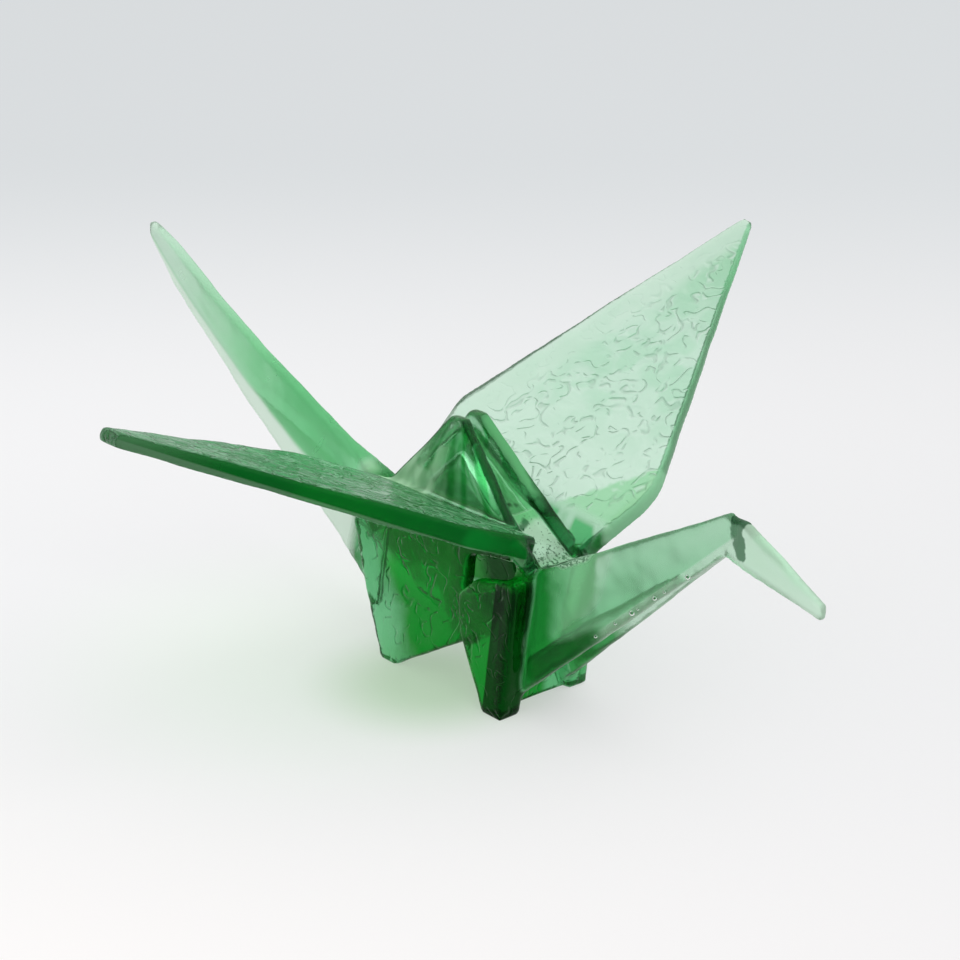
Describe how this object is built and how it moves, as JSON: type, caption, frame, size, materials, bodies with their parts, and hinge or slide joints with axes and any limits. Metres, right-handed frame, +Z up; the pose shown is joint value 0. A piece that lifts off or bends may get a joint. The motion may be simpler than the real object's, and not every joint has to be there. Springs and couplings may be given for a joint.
{
  "type": "cast glass crane ornament",
  "caption": "Cast glass ornament in the form of a folded paper crane, with raised wings, a long tail and a bent head, standing on flat-soled feet.",
  "frame": {"origin": "middle of the object's box, at the level of the soles that it stands on", "axes": "+Z up, +X towards the head along the line from tail to beak, +Y towards the steeper wing"},
  "size_m": [0.289, 0.2276, 0.1116],
  "materials": {
    "green_glass": "translucent green cast glass with a soft satin skin, fire-rounded edges and an embossed crinkle on the wings and side panels"
  },
  "bodies": {
    "root": {"origami_crane": "green_glass"}
  },
  "joints": []
}
